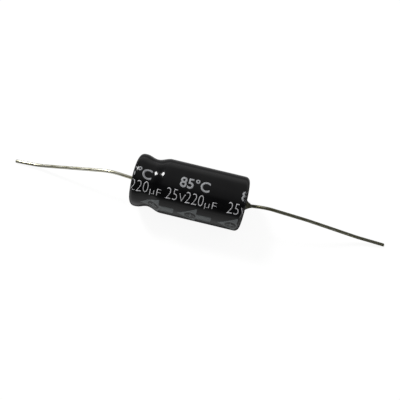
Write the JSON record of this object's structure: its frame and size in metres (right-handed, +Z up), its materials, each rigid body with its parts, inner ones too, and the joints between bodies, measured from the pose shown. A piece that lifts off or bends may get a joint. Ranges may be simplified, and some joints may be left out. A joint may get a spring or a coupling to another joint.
{
  "type": "axial electrolytic capacitor",
  "caption": "Cylindrical electrolytic capacitor with a black shrunk sleeve, a rolled groove by its crimped end and a bent wire lead from each end, lying on its side.",
  "frame": {"origin": "on the table under the middle of the part's length, midway between the two lead tips, below the body's axis", "axes": "+X along the body's axis towards the closed negative end, +Z up from the table, -Y towards the side that the picture shows in front"},
  "size_m": [0.0719, 0.01, 0.01],
  "materials": {
    "sleeve_film": "gloss",
    "drawn_aluminium": "satin",
    "rubber": "matte",
    "hard_board": "matte",
    "terminal_aluminium": "satin",
    "etched_foil": "matte",
    "plain_foil": "satin",
    "separator_paper": "matte",
    "closing_tape": "satin",
    "tinned_wire": "satin"
  },
  "bodies": {
    "root": {"sleeve": "sleeve_film", "can": "drawn_aluminium", "seal_rubber": "rubber", "seal_board": "hard_board", "anode_rivet": "terminal_aluminium", "anode_washer": "terminal_aluminium", "anode_tab": "terminal_aluminium", "anode_lead": "tinned_wire", "anode_foil": "etched_foil", "cathode_foil": "plain_foil", "inner_separator": "separator_paper", "outer_separator": "separator_paper", "closing_tape": "closing_tape", "cathode_tab": "terminal_aluminium", "cathode_lead": "tinned_wire"}
  },
  "joints": []
}
